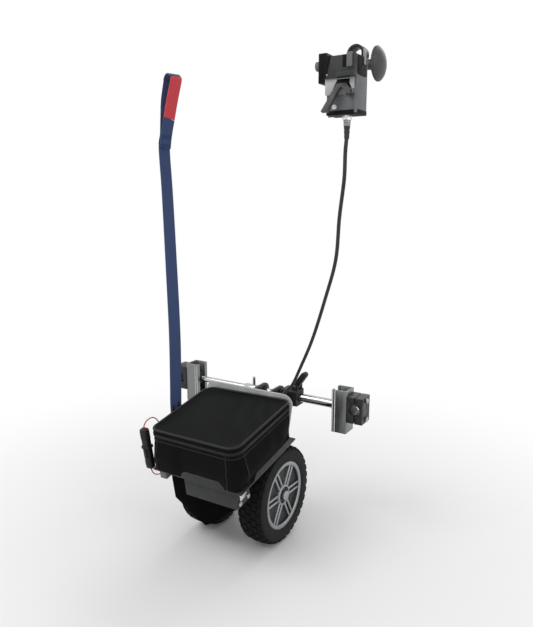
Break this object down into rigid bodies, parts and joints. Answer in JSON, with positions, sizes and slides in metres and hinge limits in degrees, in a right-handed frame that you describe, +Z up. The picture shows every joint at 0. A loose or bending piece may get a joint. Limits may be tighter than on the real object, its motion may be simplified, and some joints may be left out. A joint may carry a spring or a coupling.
{
  "type": "wheelchair power assist",
  "caption": "Clip-on electric drive for a manual wheelchair: bagged battery on a tray over small wheels, hung from a telescopic bar between rail clamps, with a cabled throttle.",
  "frame": {"origin": "middle of the left rail clamp's seat, on the axis of the frame rail and of the cross bar", "axes": "+X to the chair's right along the cross bar, +Y forwards along the frame rails, +Z up; the floor is at z = -0.244 m"},
  "size_m": [0.478, 0.2918, 0.876],
  "materials": {
    "bare_aluminium": "satin",
    "black_metal": "satin black",
    "bolt_steel": "bright zinc",
    "chrome": "polished",
    "tray_paint": "satin dark grey",
    "plate_paint": "satin light grey",
    "box_paint": "satin charcoal",
    "bag_fabric": "black woven nylon",
    "lid_fabric": "black woven nylon",
    "battery_case": "matt",
    "board": "circuit board",
    "skirt_rubber": "matt",
    "tyre": "matt",
    "rim": "silver grey paint on a moulded core",
    "gear_steel": "machined",
    "cast_case": "cast",
    "black_plastic": "fine grain",
    "dark_plastic": "fine grain",
    "grey_plastic": "fine grain",
    "white_plastic": "smooth",
    "red_lead": "smooth",
    "cable_rubber": "smooth",
    "blue_webbing": "woven",
    "red_webbing": "woven"
  },
  "bodies": {
    "carrier": {"left_receiver": "bare_aluminium", "left_saddle": "black_metal", "left_cap": "black_metal", "left_clamp_bolts": "bolt_steel", "left_slider": "black_plastic", "bar_rod": "chrome", "stop_sleeve": "chrome", "stop_pin": "bolt_steel", "control_housing": "grey_plastic", "control_panel": "dark_plastic", "control_board": "board", "control_bracket": "grey_plastic", "control_connector": "bare_aluminium", "handle_clamp": "black_plastic", "throttle_pin": "bolt_steel", "control_cable": "cable_rubber", "lift_strap": "blue_webbing", "strap_pull": "red_webbing"},
    "bar_right": {"bar_tube": "chrome", "right_slider": "black_plastic", "right_receiver": "bare_aluminium", "right_saddle": "black_metal", "right_cap": "black_metal", "right_clamp_bolts": "bolt_steel", "bar_clamp": "black_plastic", "bar_lever_pin": "bolt_steel"},
    "bar_lever": {"bar_lever": "black_plastic"},
    "drive_unit": {"tray": "tray_paint", "front_plate": "plate_paint", "pivot_bracket": "plate_paint", "pivot_bushes": "black_plastic", "frame_bolts": "bolt_steel", "bag_body": "bag_fabric", "battery_pack": "battery_case", "controller_box": "box_paint", "controller_board": "board", "rear_skirt": "skirt_rubber", "axle_plates": "black_metal", "axle_bearings": "bolt_steel", "gearbox_case": "cast_case", "gearbox_cover": "cast_case", "motor_can": "black_metal", "battery_plug": "black_plastic", "battery_socket": "black_plastic", "battery_leads": "red_lead", "glands": "grey_plastic"},
    "wheelset": {"axle": "bolt_steel", "axle_gear": "gear_steel", "left_tyre": "tyre", "right_tyre": "tyre", "left_rim": "rim", "right_rim": "rim", "wheel_nuts": "bolt_steel"},
    "layshaft": {"layshaft": "gear_steel"},
    "rotor": {"motor_rotor": "gear_steel"},
    "bag_lid": {"bag_lid": "lid_fabric"},
    "throttle": {"throttle_lever": "dark_plastic"},
    "dial": {"speed_dial": "grey_plastic"},
    "button": {"power_button": "white_plastic"},
    "knob": {"clamp_knob": "black_plastic"}
  },
  "joints": [
    {"name": "unit_swing", "type": "hinge", "parent": "carrier", "child": "drive_unit", "pos_m": [0.2225, 0, 0], "axis": [-1, 0, 0], "range_deg": [0, 20], "deforming": ["control_cable", "lift_strap"]},
    {"name": "wheel_spin", "type": "hinge", "parent": "drive_unit", "child": "wheelset", "pos_m": [0.227, -0.108, -0.153], "axis": [1, 0, 0], "continuous": true},
    {"name": "layshaft_spin", "type": "hinge", "parent": "drive_unit", "child": "layshaft", "pos_m": [0.2, -0.08289, -0.10861], "axis": [1, 0, 0], "continuous": true},
    {"name": "rotor_spin", "type": "hinge", "parent": "drive_unit", "child": "rotor", "pos_m": [0.23, -0.04421, -0.12624], "axis": [1, 0, 0], "continuous": true},
    {"name": "bar_width", "type": "slide", "parent": "carrier", "child": "bar_right", "axis": [1, 0, 0], "range_m": [-0.006, 0.04]},
    {"name": "lever_flip", "type": "hinge", "parent": "bar_right", "child": "bar_lever", "pos_m": [0.28, 0, 0.0235], "axis": [0, -1, 0], "range_deg": [0, 90]},
    {"name": "lid_hinge", "type": "hinge", "parent": "drive_unit", "child": "bag_lid", "pos_m": [0.227, -0.10071, 0.02715], "axis": [-1, 0, 0], "range_deg": [0, 80]},
    {"name": "throttle_press", "type": "hinge", "parent": "carrier", "child": "throttle", "pos_m": [0.437, -0.153, 0.554], "axis": [1, 0, 0], "range_deg": [0, 10], "stiffness_Nm_per_rad": 0.35, "springref_deg": -5.73},
    {"name": "dial_turn", "type": "hinge", "parent": "carrier", "child": "dial", "pos_m": [0.39, -0.144, 0.581], "axis": [-1, 0, 0], "range_deg": [0, 270]},
    {"name": "button_press", "type": "slide", "parent": "carrier", "child": "button", "axis": [0, 1, 0], "range_m": [0, 0.0015], "stiffness_N_per_m": 1500, "springref_m": -0.0005},
    {"name": "knob_turn", "type": "hinge", "parent": "carrier", "child": "knob", "pos_m": [0.42, -0.03, 0.6], "axis": [1, 0, 0], "continuous": true}
  ],
  "couplings": [
    {"joint": "layshaft_spin", "follows": "wheel_spin", "ratio": -3},
    {"joint": "rotor_spin", "follows": "wheel_spin", "ratio": 12}
  ]
}
